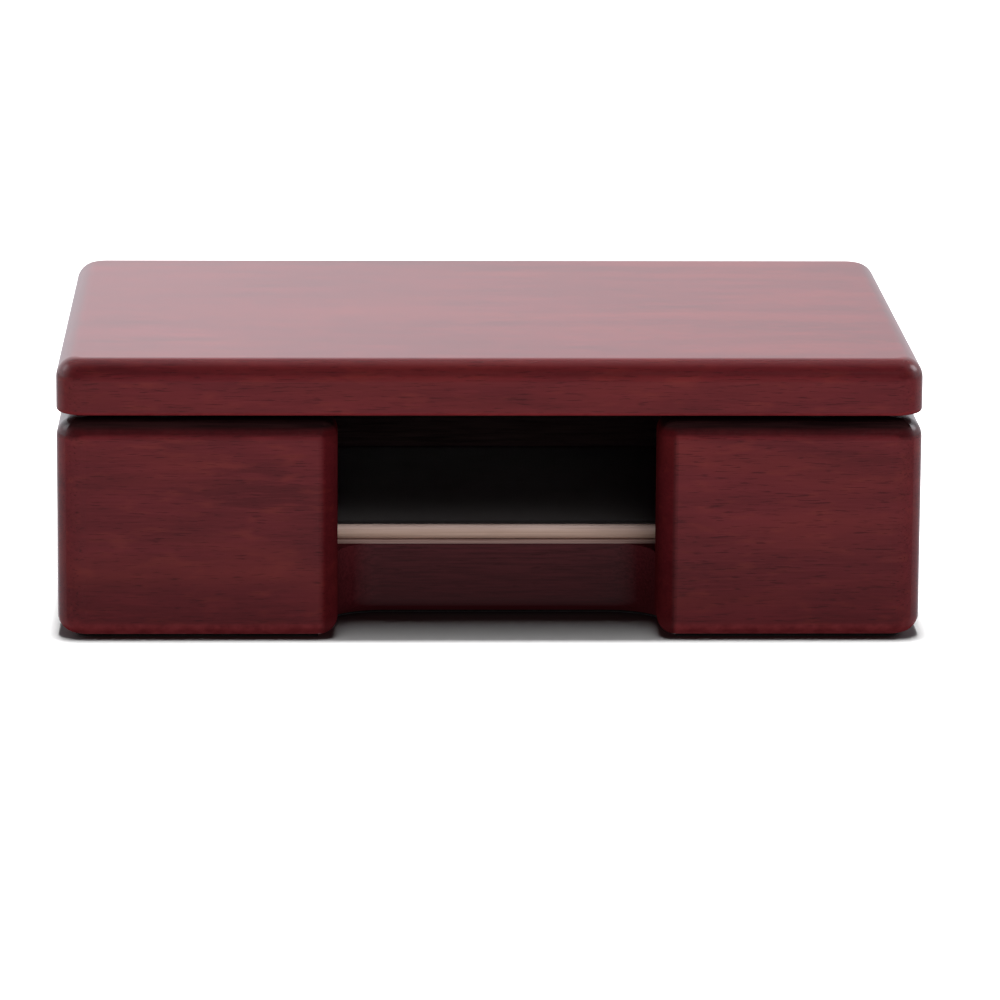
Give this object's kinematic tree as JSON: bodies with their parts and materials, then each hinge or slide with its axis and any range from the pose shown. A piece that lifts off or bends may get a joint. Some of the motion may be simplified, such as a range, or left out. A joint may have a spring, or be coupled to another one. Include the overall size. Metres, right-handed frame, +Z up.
{
  "type": "business card holder",
  "caption": "Lacquered wooden desk box for business cards, with a finger notch through the front wall and floor and a flat lid hinged along the back.",
  "frame": {"origin": "middle of the box's base, on the felt's underside", "axes": "+X to the right along the box's long side, -Y towards the notched front, +Z up"},
  "size_m": [0.112, 0.0821, 0.0368],
  "materials": {
    "rosewood_floor": "dark red-brown satin lacquer",
    "rosewood_front": "dark red-brown satin lacquer",
    "rosewood_side": "dark red-brown satin lacquer",
    "rosewood_lid": "dark red-brown semi-gloss lacquer",
    "felt": "black felt",
    "flock": "black flocked face",
    "liner_board": "bare cream board",
    "backing_sheet": "cream sheet",
    "hinge_brass": "satin brass",
    "pin_brass": "satin brass",
    "screw_brass": "satin brass"
  },
  "bodies": {
    "box": {"floor_panel": "rosewood_floor", "front_left_block": "rosewood_front", "front_right_block": "rosewood_front", "left_side_wall": "rosewood_side", "right_side_wall": "rosewood_side", "back_wall": "rosewood_front", "base_felt": "felt", "liner_backing": "backing_sheet", "liner_core": "liner_board", "liner_flock": "flock", "lid_rest_dots": "felt", "hinge_body_leaf_left": "hinge_brass", "hinge_body_leaf_right": "hinge_brass", "hinge_pin_left": "pin_brass", "hinge_pin_right": "pin_brass", "hinge_body_screws": "screw_brass"},
    "lid": {"lid_panel": "rosewood_lid", "hinge_lid_leaf_left": "hinge_brass", "hinge_lid_leaf_right": "hinge_brass", "hinge_lid_screws": "screw_brass"}
  },
  "joints": [
    {"name": "lid_hinge", "type": "hinge", "parent": "box", "child": "lid", "pos_m": [0, 0.0409, 0.02925], "axis": [-1, 0, 0], "range_deg": [0, 180]}
  ]
}
